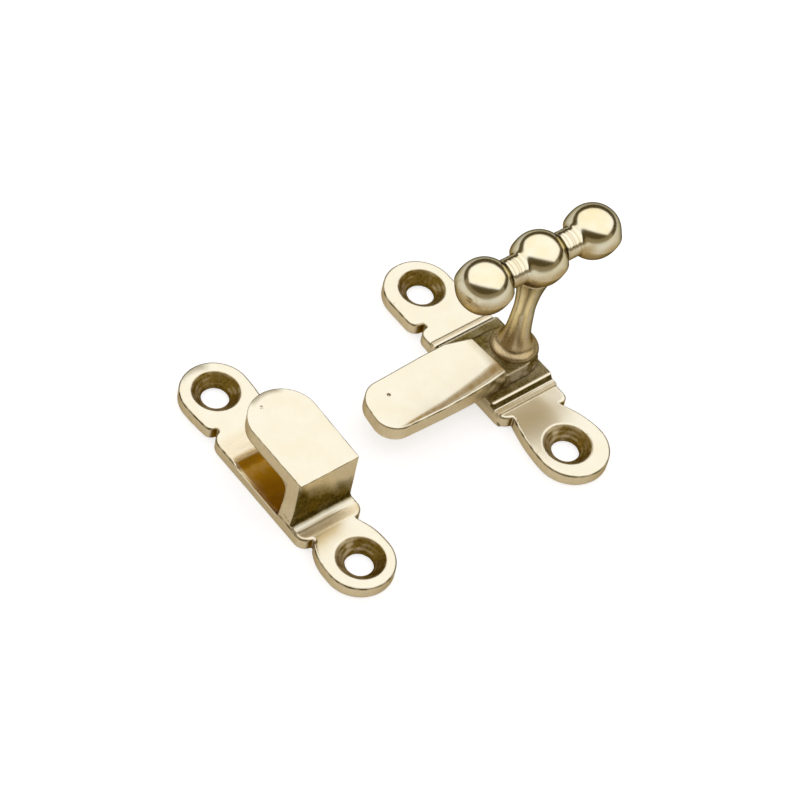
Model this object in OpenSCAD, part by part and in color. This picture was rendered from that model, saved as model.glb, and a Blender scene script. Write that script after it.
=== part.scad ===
/* [Screw plates] */
// Distance between the two screw holes of each plate
hole_spacing = 28.8; // [28:0.1:30]
// Diameter of the screw holes
screw_hole_d = 3.5; // [3:0.1:4]
// Diameter of the countersinks at the face of the ears
countersink_d = 6.2; // [5.4:0.1:6.6]
// Depth of the countersinks
countersink_depth = 1.25; // [1:0.05:1.4]
// Thickness of the screw ears
ear_t = 1.8; // [1.6:0.1:2]
// Radius of the keeper's rounded ear ends
keeper_ear_r = 4.55; // [4.4:0.05:4.7]
// Radius of the latch plate's rounded ear ends
latch_ear_r = 4.7; // [4.6:0.05:4.8]
// Half width of the middle section of each plate
middle_half_w = 4.65; // [4.5:0.05:4.8]

/* [Latch block] */
// Half length of the raised block's top
block_half_l = 5.3; // [5:0.1:5.5]
// Height of the raised block's top above the back of the plate
block_z = 2.75; // [2.5:0.05:2.8]

/* [Tongue] */
// Length of the tongue from the handle's axis to its tip
tongue_reach = 22.5; // [21:0.5:23]
// Thickness of the tongue
tongue_t = 2.2; // [1.8:0.05:2.4]
// Thickness of the round hub behind the tongue
hub_t = 1.15; // [1:0.05:1.3]
// Radius of the hub's rounded rear end
hub_r = 3.2; // [3:0.05:3.3]

/* [T-handle] */
// Distance of the handle's axis behind the middle of the latch plate
axis_y = 2.75; // [2.4:0.05:2.8]
// Radius of each ball
ball_r = 3.65; // [3.4:0.05:3.8]
// Distance between neighbouring balls
ball_spacing = 8.65; // [8.4:0.05:9]
// Height of the balls' centres above the back of the plate
ball_z = 20.1; // [19:0.1:21]
// Radius of the necks between the balls
neck_r = 2; // [1.6:0.1:2.4]
// Radius of the stem at its narrowest
waist_r = 1.35; // [1.2:0.05:1.5]

/* [Keeper] */
// Distance of the keeper's middle in front of the middle of the latch plate
keeper_gap = 31.9; // [31:0.1:40]
// Height of the hook's underside above the back of the keeper
hook_under_z = 7.4; // [7:0.1:7.8]
// Thickness of the hook's top plate
hook_t = 2.2; // [2:0.1:2.6]
// Half width of the hook
hook_half_w = 4.25; // [4.1:0.05:4.3]

/* [Hidden] */
$fn = 96;
eps = 0.01;
hole_x = hole_spacing / 2;

// Ends of the plates' middle sections, the notches and the shoulders of the ears
notch_half_w = 3.2;
keeper_middle_x = 9.3;
keeper_corner_r = 1.7;
keeper_shoulder = [9.8, 4.2];
keeper_shoulder_r = 0.9;
latch_middle_x = [-9.1, 7.8, 8.8];
latch_corner_r = 1.3;
latch_shoulder = [9.75, 4.6];
latch_shoulder_r = 1.3;
latch_neck_half_w = 3.4;

// The latch plate's ears are cast a little to one side of their holes
latch_shoulder_shift = -0.3;
latch_flare_shift = 0.3;
latch_flare_end_x = hole_x + 0.5;

cast_brass = [0.86, 0.79, 0.6];
turned_brass = [0.8, 0.72, 0.5];
washer_brass = [0.72, 0.6, 0.35];

// The step beside the latch block: a low shelf above the ears
shelf_z = ear_t + 0.2;
shelf_half_l = 6.65;
block_foot_half_l = 5.8;

// Turning fit of the stem in the latch plate, and its riveted head at the back
journal_r = 1;
running_gap = 0.05;
head_r = 1.55;
head_z0 = 0.05;
head_cone_z = 0.85;

// The tongue lies just above the block and rides on the washer
tongue_z = block_z + running_gap;
tongue_top_z = tongue_z + tongue_t;
hub_top_z = tongue_z + hub_t;
tongue_rear_y = axis_y - 4.5;
// The hub's flanks slope out to the tongue's full width over the block, with a wide round foot behind
hub_foot_half_w = 4.05;
hub_flank_half_w = 3.3;
hub_foot_y = axis_y - 1;
hub_front_y = tongue_rear_y - 2.5;
tongue_tip_y = axis_y - tongue_reach;
tip_r = 2.6;
washer_r = 2.4;
washer_hole_r = journal_r + 0.1;
washer_t = 0.28;
washer_z = block_z + 0.02;
washer_top_z = washer_z + washer_t;
tenon_side = 2.6;

// The stem rises from a collar on the hub to a seat in the middle ball
collar_r = 2.85;
collar_top_z = hub_top_z + 0.35;
waist_z = ball_z - 9.1;
seat_z = ball_z - 2.85;
seat_r = sqrt(ball_r * ball_r - (ball_z - seat_z) * (ball_z - seat_z));
foot_taper = 0.35;
foot_flare = 0.9;
ball_tenon_r = 1;
ball_tenon_l = 2.2;
stem_steps = 28;

// The hook stands on the +X side of the keeper and reaches back over the slot
hook_top_z = hook_under_z + hook_t;
riser_in_x = 4.25;
riser_out_x = 6.75;
riser_root_z = 0.5;
hook_fillet_r = 1.2;
hook_end = [-2.4, 0.2];
hook_end_r = hook_half_w + hook_end.y;
slot_z = 1.4;
slot_x = -4.35;

// Radius of the stem at height z: it tapers to the waist and flares at both ends
function stem_r(z) = z < waist_z
    ? let (t = (waist_z - z) / (waist_z - collar_top_z)) waist_r + foot_taper * t + foot_flare * pow(t, 5)
    : waist_r + (seat_r - waist_r) * pow((z - waist_z) / (seat_z - waist_z), 2);

// An outline closed by its own mirror image about the long axis of the plate
module mirrored_outline(points) {
    last = len(points) - 1;
    polygon(concat(points, [for (i = [0 : last]) [points[last - i].x, -points[last - i].y]]));
}

// A bar with round corners from x0 to near_x1 on its -Y side and far_x1 on its +Y side
module rounded_bar(x0, near_x1, far_x1, half_w, r) {
    polygon([[x0, r - half_w], [x0 + r, -half_w], [near_x1 - r, -half_w], [near_x1, r - half_w],
             [far_x1, half_w - r], [far_x1 - r, half_w], [x0 + r, half_w], [x0, half_w - r]]);
    for (x = [x0 + r, near_x1 - r]) translate([x, r - half_w]) circle(r = r);
    for (x = [x0 + r, far_x1 - r]) translate([x, half_w - r]) circle(r = r);
}

// A broad ear on the +X side, with a rounded shoulder beside the notch
module shouldered_ear(ear_r, shoulder, shoulder_r) {
    inner_x = shoulder.x + shoulder_r;
    outer_x = shoulder.x + 3 * shoulder_r;
    translate([hole_x, 0]) circle(r = ear_r);
    mirrored_outline([[inner_x, shoulder.y], [hole_x, ear_r]]);
    rounded_bar(shoulder.x, outer_x, outer_x, shoulder.y, shoulder_r);
    mirrored_outline([[0, notch_half_w], [inner_x, notch_half_w]]);
}

// A slim ear on the +X side that flares gently from the notch to its round end
module flared_ear(ear_r, neck_x, neck_half_w, end_x) {
    translate([end_x, 0]) circle(r = ear_r);
    mirrored_outline([[0, neck_half_w], [neck_x, neck_half_w], [neck_x + 2.4, ear_r - 0.65],
                      [end_x - 2.3, ear_r - 0.15], [end_x, ear_r]]);
}

// Two countersunk screw holes
module screw_holes() {
    for (side = [-1, 1]) translate([side * hole_x, 0, 0]) {
        translate([0, 0, -1]) cylinder(h = ear_t + 2, d = screw_hole_d);
        translate([0, 0, ear_t - countersink_depth])
            cylinder(h = countersink_depth + eps, d1 = screw_hole_d, d2 = countersink_d);
    }
}

// A solid of constant profile across the plate, drawn in X and Z
module across_plate(half_w) {
    rotate([90, 0, 0]) linear_extrude(height = 2 * half_w, center = true) children();
}

module latch_plate() {
    color(cast_brass) difference() {
        union() {
            linear_extrude(height = ear_t) {
                rounded_bar(
                    latch_middle_x[0], latch_middle_x[1], latch_middle_x[2], middle_half_w, latch_corner_r);
                translate([0, latch_flare_shift])
                    flared_ear(latch_ear_r, latch_middle_x[1], latch_neck_half_w, latch_flare_end_x);
                translate([0, latch_shoulder_shift])
                    mirror([1, 0]) shouldered_ear(latch_ear_r, latch_shoulder, latch_shoulder_r);
            }
            across_plate(middle_half_w) polygon([
                [-shelf_half_l, 0], [-shelf_half_l, shelf_z], [-block_foot_half_l, shelf_z],
                [-block_half_l, block_z], [block_half_l, block_z],
                [block_foot_half_l, shelf_z], [shelf_half_l, shelf_z], [shelf_half_l, 0]]);
        }
        screw_holes();
        translate([0, axis_y, -1]) cylinder(h = block_z + 2, r = journal_r + running_gap);
        translate([0, axis_y, -eps]) cylinder(
            h = head_cone_z + eps, r1 = head_r + running_gap, r2 = journal_r + running_gap);
    }
}

// Outline of the tongue, tapered behind and rounded at the tip
module tongue_outline() {
    right_tip = [1.25, tongue_tip_y + tip_r];
    left_tip = [-1.1, tongue_tip_y + tip_r + 0.15];
    for (tip = [right_tip, left_tip]) translate(tip) circle(r = tip_r);
    polygon([
        left_tip - [0, tip_r], right_tip - [0, tip_r], right_tip + [tip_r, 0],
        [4.05, -11.5], [4.05, -7.5], [3.9, -4.3], [3.5, tongue_rear_y],
        [-2.85, tongue_rear_y], [-4.02, -5.4], [-4, -8.5], left_tip - [tip_r, 0]]);
}

// Outline of the hub's foot, where it lies over the block
module hub_foot_outline() {
    translate([0, hub_foot_y]) circle(r = hub_foot_half_w);
    translate([-hub_foot_half_w, hub_front_y]) square([2 * hub_foot_half_w, hub_foot_y - hub_front_y]);
}

// Hub behind the tongue: a round end about the handle's axis on a wider foot with sloping flanks
module hub() {
    translate([0, axis_y, tongue_z]) cylinder(h = hub_t, r = hub_r);
    intersection() {
        translate([0, 0, tongue_z]) linear_extrude(height = hub_t) hub_foot_outline();
        translate([0, axis_y + 4, 0]) rotate([90, 0, 0]) linear_extrude(height = 12)
            polygon([[-hub_foot_half_w, tongue_z], [hub_foot_half_w, tongue_z],
                [hub_flank_half_w, hub_top_z], [-hub_flank_half_w, hub_top_z]]);
    }
}

module tongue() {
    bevel_start = [3.55, tongue_tip_y + 3, tongue_top_z];
    bevel_turn = 6;
    bevel_slope = 14;
    color(cast_brass) difference() {
        union() {
            translate([0, 0, tongue_z]) linear_extrude(height = tongue_t) tongue_outline();
            hub();
        }
        translate(bevel_start) rotate([0, bevel_slope, bevel_turn]) translate([-1, 0, 0]) cube([5, 20, 3]);
        translate([0, axis_y, tongue_z - eps])
            cylinder(h = washer_top_z - tongue_z + eps, r = washer_r + 0.1);
        translate([-tenon_side / 2, axis_y - tenon_side / 2, tongue_z])
            cube([tenon_side, tenon_side, hub_t + 1]);
    }
}

module friction_washer() {
    color(washer_brass) translate([0, axis_y, washer_z]) difference() {
        cylinder(h = washer_t, r = washer_r);
        translate([0, 0, -1]) cylinder(h = washer_t + 2, r = washer_hole_r);
    }
}

module stem() {
    color(turned_brass) translate([0, axis_y, 0]) {
        rotate_extrude() polygon([
            [0, head_z0], [head_r - running_gap, head_z0], [journal_r, head_cone_z], [journal_r, hub_top_z],
            [collar_r, hub_top_z], [collar_r, collar_top_z],
            for (i = [0 : stem_steps])
                let (z = collar_top_z + (seat_z - collar_top_z) * i / stem_steps) [stem_r(z), z],
            [ball_tenon_r, seat_z], [ball_tenon_r, seat_z + ball_tenon_l], [0, seat_z + ball_tenon_l]]);
        translate([-tenon_side / 2, -tenon_side / 2, washer_top_z])
            cube([tenon_side, tenon_side, hub_top_z - washer_top_z]);
    }
}

module ball_bar() {
    color(turned_brass) translate([0, axis_y, 0]) difference() {
        union() {
            for (i = [-1 : 1]) translate([0, i * ball_spacing, ball_z]) sphere(r = ball_r);
            translate([0, 0, ball_z]) rotate([90, 0, 0])
                cylinder(h = 2 * ball_spacing, r = neck_r, center = true);
        }
        translate([0, 0, seat_z - ball_r]) cylinder(h = ball_r, r = ball_r);
        translate([0, 0, seat_z - 1]) cylinder(h = ball_tenon_l + 1, r = ball_tenon_r);
    }
}

// Side view of the hook: the riser joins the top plate in a fillet
module hook_profile() {
    tip_x = hook_end.x - hook_end_r;
    polygon([
        [riser_in_x, riser_root_z], [riser_in_x, hook_under_z], [tip_x, hook_under_z],
        [tip_x, hook_top_z], [riser_out_x, hook_top_z], [riser_out_x, riser_root_z]]);
    difference() {
        translate([riser_in_x - hook_fillet_r, hook_under_z - hook_fillet_r])
            square([hook_fillet_r + eps, hook_fillet_r + eps]);
        translate([riser_in_x - hook_fillet_r, hook_under_z - hook_fillet_r]) circle(r = hook_fillet_r);
    }
}

// Plan view of the hook: square at the riser, a little wider and round at its free end
module hook_plan() {
    translate(hook_end) circle(r = hook_end_r);
    polygon([hook_end - [0, hook_end_r], [riser_out_x + 1, -hook_half_w],
             [riser_out_x + 1, hook_half_w], hook_end + [0, hook_end_r]]);
}

module keeper() {
    color(cast_brass) translate([0, -keeper_gap, 0]) difference() {
        union() {
            linear_extrude(height = ear_t) {
                rounded_bar(
                    -keeper_middle_x, keeper_middle_x, keeper_middle_x, middle_half_w, keeper_corner_r);
                for (turn = [0, 180])
                    rotate(turn) shouldered_ear(keeper_ear_r, keeper_shoulder, keeper_shoulder_r);
            }
            intersection() {
                linear_extrude(height = hook_top_z) hook_plan();
                across_plate(hook_end_r + 1) hook_profile();
            }
        }
        screw_holes();
        translate([slot_x, -middle_half_w - 1, slot_z])
            cube([riser_in_x - slot_x, 2 * middle_half_w + 2, ear_t - slot_z + 1]);
    }
}

latch_plate();
tongue();
friction_washer();
stem();
ball_bar();
keeper();
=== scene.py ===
import math
import bpy
import numpy as np
from mathutils import Matrix, Vector


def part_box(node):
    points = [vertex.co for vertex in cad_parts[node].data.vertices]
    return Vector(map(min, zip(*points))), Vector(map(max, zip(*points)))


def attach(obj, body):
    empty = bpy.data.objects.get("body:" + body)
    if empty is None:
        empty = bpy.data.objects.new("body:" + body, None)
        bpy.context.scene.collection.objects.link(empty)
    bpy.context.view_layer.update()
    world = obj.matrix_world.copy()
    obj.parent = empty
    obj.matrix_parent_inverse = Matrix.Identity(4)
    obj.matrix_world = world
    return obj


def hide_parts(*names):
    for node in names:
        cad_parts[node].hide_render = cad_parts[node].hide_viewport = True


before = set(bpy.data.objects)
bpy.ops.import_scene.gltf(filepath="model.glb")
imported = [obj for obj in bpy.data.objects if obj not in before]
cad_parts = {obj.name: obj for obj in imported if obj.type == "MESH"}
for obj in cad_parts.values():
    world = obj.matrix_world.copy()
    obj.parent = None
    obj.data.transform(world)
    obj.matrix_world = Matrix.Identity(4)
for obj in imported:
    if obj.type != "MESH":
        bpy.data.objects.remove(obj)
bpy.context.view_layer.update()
mm = 0.001
print("frame loaded:", sorted(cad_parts))


def boxMm(node):
    low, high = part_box(node)
    return np.array(low) / mm, np.array(high) / mm


def addObject(name, data):
    added = bpy.data.objects.new(name, data)
    bpy.context.scene.collection.objects.link(added)
    return added


# A shape is a signed distance in millimetres, negative inside the metal. In the shapes and the
# finishes, s is the piece's own dictionary and p the points of its surface, in millimetres.

def cornerRound(a, b, radius):
    # where both a and b are inside, with their shared outer edge rounded
    return np.minimum(np.maximum(a, b), -radius) + np.hypot(
        np.maximum(a + radius, 0), np.maximum(b + radius, 0))


def fillet(a, b, radius):
    # where either is inside, with the inner corner between them filled
    return np.maximum(np.minimum(a, b), radius) - np.hypot(
        np.maximum(radius - a, 0), np.maximum(radius - b, 0))


def cut(a, b, radius):
    # a with b taken out of it, and a rounded rim
    return cornerRound(a, -b, radius)


def slab(outline, z, z0, z1, topR, bottomR):
    # an outline given its thickness, with rounded edges
    return cornerRound(cornerRound(outline, z - z1, topR), z0 - z, bottomR)


def ramp(value, start, end):
    # 0 at start and 1 at end, smooth between them and in either direction
    t = np.clip((value - start) / (end - start), 0, 1)
    return t * t * (3 - 2 * t)


def along(y, points):
    # a width or an edge that runs straight between a few points, each given as y and the width there
    return np.interp(y, *zip(*points))


def ripple(p, size, seed):
    # the slow unevenness that hand polishing leaves, from a few fixed waves
    rng = np.random.default_rng(seed)
    waves = 9
    total = np.zeros(len(p))
    for _ in range(waves):
        direction = rng.normal(size=3)
        direction *= rng.uniform(0.6, 1.6) * 2 * math.pi / size / np.linalg.norm(direction)
        total += np.sin(p @ direction + rng.uniform(0, 2 * math.pi))
    return total / math.sqrt(waves)


def mottle(p, size, seed):
    # the same unevenness for stains, kept between -1 and 1
    return np.clip(ripple(p, size, seed), -1, 1)


def slopeOf(shape, p, step=0.01):
    grad = np.empty_like(p)
    for axis in range(3):
        ahead, behind = p.copy(), p.copy()
        ahead[:, axis] += step
        behind[:, axis] -= step
        grad[:, axis] = (shape(*ahead.T) - shape(*behind.T)) / (2 * step)
    return grad


def hollowness(shape, p, normal):
    # how closely the metal stands round each point, 0 on an open face and near 1 deep in a corner
    reaches = (0.3, 0.7, 1.4, 2.8)
    total = np.zeros(len(p))
    for reach in reaches:
        away = p + normal * reach
        total += np.clip(1 - shape(*away.T) / reach, 0, 1)
    return total / len(reaches)


plain = {"edgeShadeTone": 0.65, "edgeShadeBreaks": 0.35, "breakSize": 1.1, "hollowAmber": 0.6}


def plainFinish(p, normal, hollow):
    # how polished, how dark and how amber each point is: darker and more amber in hollows, partly patina and
    # partly painted shade, with a fine painted dark reflection along the rounded edges of the faces
    up = normal[:, 2]
    # painted reflection: a thin broken dark line on the rounded edges, where the dark room would show in them
    edgeShade = ramp(up, 0.1, 0.3) * ramp(up, 0.85, 0.6) * (hollow < 0.2)
    broken = plain["edgeShadeTone"] + plain["edgeShadeBreaks"] * mottle(p, plain["breakSize"], 12)
    polish = ramp(up, 0.45, 0.9)
    # painted shade and patina: darker where the metal closes round a point
    tarnishAndShade = np.maximum(ramp(hollow, 0.12, 0.6), edgeShade * broken)
    return polish, tarnishAndShade, plain["hollowAmber"] * ramp(hollow, 0.3, 0.7)


def addLayers(mesh, layers):
    # what a finish gives for each point goes to the brass as three attributes
    for label, amount in zip(("polish", "tarnishAndShade", "amber"), layers):
        layer = mesh.attributes.new(label, "FLOAT", "POINT")
        layer.data.foreach_set("value", np.clip(amount, 0, 1).astype(np.float32))


def layPoints(shape, crossed, low, cell):
    # one point in each grid cell that the surface crosses, drawn onto the surface in a few steps
    p = low + (np.argwhere(crossed) + 0.5) * cell
    for _ in range(5):
        grad = slopeOf(shape, p)
        reach = shape(*p.T) / np.maximum((grad ** 2).sum(1), 0.2)
        p -= np.clip(reach, -cell, cell)[:, None] * grad
    return p


def layQuads(inside, number, counts):
    # one quad across each grid edge that the surface crosses, cornered in the four cells round it
    quads = []
    for axis in range(3):
        a, b = (axis + 1) % 3, (axis + 2) % 3
        first = np.take(inside, np.arange(counts[axis] - 1), axis)
        second = np.take(inside, np.arange(1, counts[axis]), axis)
        at = np.argwhere(first != second)
        at = at[(at[:, a] > 0) & (at[:, b] > 0) & (at[:, a] < counts[a] - 1) & (at[:, b] < counts[b] - 1)]
        ring = []
        for da, db in ((0, 0), (1, 0), (1, 1), (0, 1)):
            c = at.copy()
            c[:, a] -= da
            c[:, b] -= db
            ring.append(number[tuple(c.T)])
        ring = np.stack(ring, 1)
        leaving = first[tuple(at.T)]
        quads.append(np.where(leaving[:, None], ring, ring[:, ::-1]))
    return np.concatenate(quads)


def skin(name, shape, finish, low, high, s):
    # lays a quad mesh over the shape's surface, with the finish in its points
    cell = s["cell"]
    margin = 2.5 * cell
    low, high = np.array(low, float) - margin, np.array(high, float) + margin
    counts = np.ceil((high - low) / cell).astype(int) + 1
    grids = np.meshgrid(*[low[i] + cell * np.arange(counts[i]) for i in range(3)], indexing="ij")
    inside = shape(*grids) < 0
    corners = sum(inside[i:counts[0] - 1 + i, j:counts[1] - 1 + j, k:counts[2] - 1 + k].astype(np.int8)
                  for i in (0, 1) for j in (0, 1) for k in (0, 1))
    crossed = (corners > 0) & (corners < 8)
    number = np.full(crossed.shape, -1, np.int64)
    number[crossed] = np.arange(crossed.sum())
    p = layPoints(shape, crossed, low, cell)
    quads = layQuads(inside, number, counts)
    normal = slopeOf(shape, p)
    normal /= np.maximum(np.linalg.norm(normal, axis=1), 1e-9)[:, None]
    layers = finish(p, normal, hollowness(shape, p, normal))
    if s["wave"]:
        p += normal * (ripple(p, s["waveSize"], s["waveSeed"]) * s["wave"])[:, None]
    mesh = bpy.data.meshes.new(name)
    mesh.from_pydata((p * mm).tolist(), [], quads.tolist())
    mesh.shade_smooth()
    piece = addObject(name, mesh)
    addLayers(mesh, layers)
    print(name, "has", len(quads), "faces")
    return piece


# Both plates: a bar in the middle, a neck beside each notch and an ear round each screw hole.

screw = {"spacing": 28.8, "holeR": 1.75, "headR": 3.1, "sinkDepth": 1.25, "sinkRim": 0.07, "overcut": 0.3,
         "sinkAmber": 0.25, "sinkTone": 0.85, "ringPitch": 0.42, "ringTone": 0.14, "oneSideTone": 0.25,
         "mottleTone": 0.2, "rimFade": 0.35}
holeX = screw["spacing"] / 2
earT = 1.8
neckReach = 2.0  # the necks end this far short of the screw holes' middles
faceLow, faceHigh = 1.3, 2.2  # a point between these heights is on a plate's top face


def softBar(x, y, x0, x1, halfWidth, radiusLeft, radiusRight):
    # a bar whose corners are rounded by one radius on the left and another on the right
    radius = np.where(x < 0, radiusLeft, radiusRight)
    return cornerRound(np.maximum(x0 - x, x - x1), np.abs(y) - halfWidth, radius)


def earOutline(x, y, ear):
    # one ear on the +X side: a shoulder at the notch, two bulging flanks and a round end
    t = np.clip((x - ear["shoulderX"]) / (ear["endX"] - ear["shoulderX"]), 0, 1)
    bulge = 1 - (1 - t) ** ear["bulge"]
    near = ear["near"] + (ear["endR"] - ear["endY"] - ear["near"]) * bulge
    far = ear["far"] + (ear["endR"] + ear["endY"] - ear["far"]) * bulge
    flank = cornerRound(np.maximum(-near - y, y - far), ear["shoulderX"] - x, ear["shoulderR"])
    flank = np.maximum(flank, x - ear["endX"])
    return np.minimum(flank, np.hypot(x - ear["endX"], y - ear["endY"]) - ear["endR"])


def plateOutline(x, y, s):
    # the bar, the necks and the ears seen from above, joined by small fillets
    turned = y - s["turn"] * x
    middle = softBar(x, turned, s["leftEnd"], s["rightEnd"] + s["endSlant"] * y, s["halfWidth"],
                     s["cornerLeft"], s["cornerRight"])
    neck = np.maximum(np.abs(x) - holeX + neckReach, np.abs(turned) - s["neckHalf"])
    outline = fillet(middle, neck, s["neckFillet"])
    outline = fillet(outline, earOutline(x, y, s["rightEar"]), s["rightEar"]["joinR"])
    return fillet(outline, earOutline(-x, y, s["leftEar"]), s["leftEar"]["joinR"])


def countersunkHole(x, y, z):
    # a round hole that opens into a cone at the ear's face
    rho = np.hypot(x, y)
    slope = (screw["headR"] - screw["holeR"]) / screw["sinkDepth"]
    coneR = screw["holeR"] + (z - (earT - screw["sinkDepth"])) * slope
    coneR = np.minimum(coneR, screw["headR"] + screw["overcut"])
    return np.minimum(rho - screw["holeR"], (rho - coneR) / math.hypot(1, slope))


def drilled(solid, x, y, z):
    for sideX in (-holeX, holeX):
        solid = cut(solid, countersunkHole(x - sideX, y, z), screw["sinkRim"])
    return solid


def pitted(solid, x, y, z, topZ, s):
    # small casting pits in a top face
    for pitX, pitY, pitR in s["pits"]:
        pit = np.sqrt((x - pitX) ** 2 + (y - pitY) ** 2 + (z - topZ) ** 2) - pitR
        solid = cut(solid, pit, s["pitRim"])
    return solid


def inSinks(p):
    # 1 on the walls of the screw holes and countersinks
    rho = np.hypot(np.abs(p[:, 0]) - holeX, p[:, 1])
    return (rho < screw["headR"] + 0.05) * ramp(p[:, 2], earT - 0.02, earT - 0.12)


def sinkTone(p):
    # turning rings in the countersinks, with one side of each darker than the other
    rho = np.hypot(np.abs(p[:, 0]) - holeX, p[:, 1])
    rings = np.sin(rho * 2 * math.pi / screw["ringPitch"])
    around = np.arctan2(p[:, 1], np.abs(p[:, 0]) - holeX)
    tone = screw["sinkTone"] + screw["ringTone"] * rings + screw["oneSideTone"] * np.sin(around + 0.6)
    tone += screw["mottleTone"] * mottle(p, 1.6, 41)
    return tone - screw["rimFade"] * ramp(rho, screw["headR"] - 0.3, screw["headR"])


axisY = 2.75
pivot = {"boreR": 1.05, "coneZ": 0.85, "coneSlope": 0.65, "coneStretch": 1.2, "rim": 0.05}

latchLow, latchHigh = boxMm("latch_plate")
latchPlate = {
    "leftEnd": -9.1, "rightEnd": 8.35, "endSlant": 0.2, "cornerLeft": 1.4, "cornerRight": 1.3,
    "halfWidth": 4.72, "turn": 0.012, "neckHalf": 3.25, "neckFillet": 0.2,
    "rightEar": {"endX": 14.9, "endY": 0.38, "endR": 4.72, "shoulderX": 8.0, "near": 3.25, "far": 2.65,
                 "shoulderR": 0.15, "bulge": 1.9, "joinR": 0.25},
    "leftEar": {"endX": 14.4, "endY": -0.3, "endR": 4.68, "shoulderX": 9.65, "near": 4.95, "far": 4.4,
                "shoulderR": 1.4, "bulge": 2.0, "joinR": 0.25},
    "blockHalf": 5.3, "blockZ": latchHigh[2], "footHalf": 5.8, "shelfHalf": 6.65, "shelfZ": 2.0,
    "topEdge": 0.38, "bottomEdge": 0.12, "shelfEdge": 0.1, "blockEdge": 0.12,
    "shelfCorner": 0.2, "blockCorner": 0.25, "stepFillet": 0.1,
    "blockShadeDull": 0.7, "blockShade": 0.25, "blockTopShade": 0.88, "flankShade": 0.97,
    "cell": 0.115, "wave": 0.006, "waveSize": 4.0, "waveSeed": 3,
}


def latchShape(x, y, z):
    s = latchPlate
    plate = slab(plateOutline(x, y, s), z, 0, earT, s["topEdge"], s["bottomEdge"])
    side = np.abs(y - s["turn"] * x) - s["halfWidth"]
    shelf = cornerRound(np.abs(x) - s["shelfHalf"], side, s["shelfCorner"])
    shelf = slab(shelf, z, 0, s["shelfZ"], s["shelfEdge"], s["bottomEdge"])
    rise = (s["footHalf"] - s["blockHalf"]) / (s["blockZ"] - s["shelfZ"])
    flank = (np.abs(x) - s["footHalf"] + (z - s["shelfZ"]) * rise) / math.hypot(1, rise)
    block = cornerRound(flank, side, s["blockCorner"])
    block = slab(block, z, 0, s["blockZ"], s["blockEdge"], s["bottomEdge"])
    solid = fillet(fillet(plate, shelf, s["stepFillet"]), block, s["stepFillet"])
    solid = drilled(solid, x, y, z)
    # the stem's bore, widened into a cone at the back for its riveted tail
    rho = np.hypot(x, y - axisY)
    cone = (rho - pivot["boreR"] - (pivot["coneZ"] - z) * pivot["coneSlope"]) / pivot["coneStretch"]
    return cut(solid, np.minimum(rho - pivot["boreR"], cone), pivot["rim"])


def latchFinish(p, normal, hollow):
    s = latchPlate
    polish, tarnishAndShade, amber = plainFinish(p, normal, hollow)
    sinks = inSinks(p)
    side, z = np.abs(p[:, 0]), p[:, 2]
    onBlock = ramp(side, s["shelfHalf"] + 0.25, s["shelfHalf"] + 0.05) * (z > faceLow)
    top = ramp(side, s["blockHalf"] - 0.05, s["blockHalf"] - 0.3) * (z > s["blockZ"] - 0.3)
    ridge = ramp(side, s["blockHalf"] - 0.25, s["blockHalf"] - 0.08) * (z > s["blockZ"] - 0.16)
    flank = (z > s["shelfZ"] + 0.05) * (z < s["blockZ"] - 0.16) * (side > s["blockHalf"] - 0.3)
    strip = ramp(side, s["footHalf"] - 0.05, s["footHalf"] + 0.05)
    strip *= ramp(side, s["footHalf"] + 0.45, s["footHalf"] + 0.25)
    # the block is painted darker and duller as shade under the tongue, on its top beside the tongue and on
    # its sides, except along its top edges and the strips at its feet
    offEdges = (1 - ridge) * (1 - strip)
    polish *= (1 - s["blockShadeDull"] * onBlock * (1 - np.maximum(ridge, strip))) * (1 - sinks)
    # painted shade: the block's top beside the tongue and its sides are painted dark
    tarnishAndShade = np.maximum(tarnishAndShade * offEdges, np.maximum(sinkTone(p) * sinks, s["blockTopShade"] * top))
    tarnishAndShade = np.maximum(tarnishAndShade, s["flankShade"] * flank)
    tarnishAndShade = np.maximum(tarnishAndShade, s["blockShade"] * onBlock * offEdges)
    return polish, tarnishAndShade, np.maximum(amber, screw["sinkAmber"] * sinks)


tongueLow, tongueHigh = boxMm("tongue")
tongue = {
    "z0": tongueLow[2], "z1": tongueHigh[2], "hubZ": tongueLow[2] + 1.15,
    "rightEdge": ((-18.9, 3.7), (-11.5, 3.98), (-7.5, 3.85), (-4.3, 3.62), (-1.55, 3.25)),
    "leftEdge": ((-18.9, -3.65), (-8.5, -4.0), (-5.4, -4.0), (-1.55, -2.85)),
    "rightFoot": ((-18.9, 3.8), (-11.5, 4.1), (-7.5, 4.15)),
    "leftFoot": ((-18.9, -3.75), (-8.5, -4.1)),
    "tipY": tongueLow[1], "tipR": 2.7, "tipSlant": 0.12, "slantFrom": -3, "slantTo": 0.9,
    "rearY": -1.55, "rearSlant": 0.07, "rearEdge": 0.3, "topEdge": 0.26, "bottomEdge": 0.2,
    "band": ((-17.5, 0.5), (-3.0, 2.0)), "bandDip": 0.05, "bandFrontY": -18.5, "bandFadeIn": 3.0,
    "hubR": 3.2, "footHalf": 4.1, "flankHalf": 3.3, "flankStretch": 1.24, "footY": 1.75, "footFront": -4.5,
    "hubTopEdge": 0.2, "hubBottomEdge": 0.15, "hubFillet": 0.12,
    "washerR": 2.5, "washerZ": 3.05, "squareHalf": 1.3,
    "pits": ((-1.25, -16.15, 0.2),), "pitRim": 0.03,
    "bandShadeTone": 0.75, "bandShadeDull": 0.45, "hubShade": 0.88, "hubShadeDull": 0.85, "rearTone": 0.5, "rearShade": 0.4,
    "flankFrom": 3.2, "flankShade": 0.55, "flankPolish": 0.45, "flankAmber": 0.15,
    "cell": 0.09, "wave": 0.006, "waveSize": 4.0, "waveSeed": 5,
}


def tongueBand(x, y):
    # the width of the sloping band along the right edge, and how far across it a place is
    width = along(y, tongue["band"])
    return width, (x - along(y, tongue["rightEdge"]) + width) / width


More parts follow.
